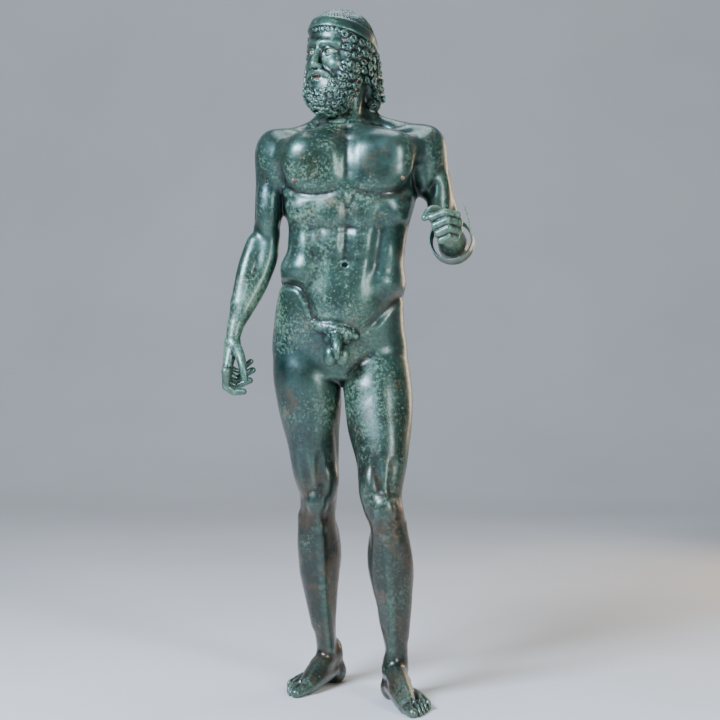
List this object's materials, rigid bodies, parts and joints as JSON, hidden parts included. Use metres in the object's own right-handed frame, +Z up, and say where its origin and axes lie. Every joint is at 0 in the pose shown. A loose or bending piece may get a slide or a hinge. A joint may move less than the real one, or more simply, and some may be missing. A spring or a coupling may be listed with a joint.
{
  "type": "bronze warrior statue",
  "caption": "Life-size standing nude bearded male figure in patinated bronze, one hand lowered and one forearm raised, fists bored for lost arms.",
  "frame": {"origin": "middle of the bounding box at the level of the soles", "axes": "+Z up along the standing figure, -Y the way the chest faces, -X the figure's right side"},
  "size_m": [0.7248, 0.4948, 1.981],
  "materials": {
    "patinated_bronze": "dark green-brown bronze patina, satin, mottled with paler green crusts and russet spots",
    "armband_bronze": "dark bronze patina, satin, worn brighter at the rim",
    "eye_stone": "ivory-white polished stone, set-in darker iris ring",
    "red_copper": "dull red copper, lightly tarnished",
    "tooth_silver": "tarnished silver, satin"
  },
  "bodies": {
    "root": {"bronze_figure": "patinated_bronze", "shield_armband": "armband_bronze", "eye_right": "eye_stone", "eye_left": "eye_stone", "lips": "red_copper", "nipple_right": "red_copper", "nipple_left": "red_copper", "teeth": "tooth_silver"}
  },
  "joints": []
}
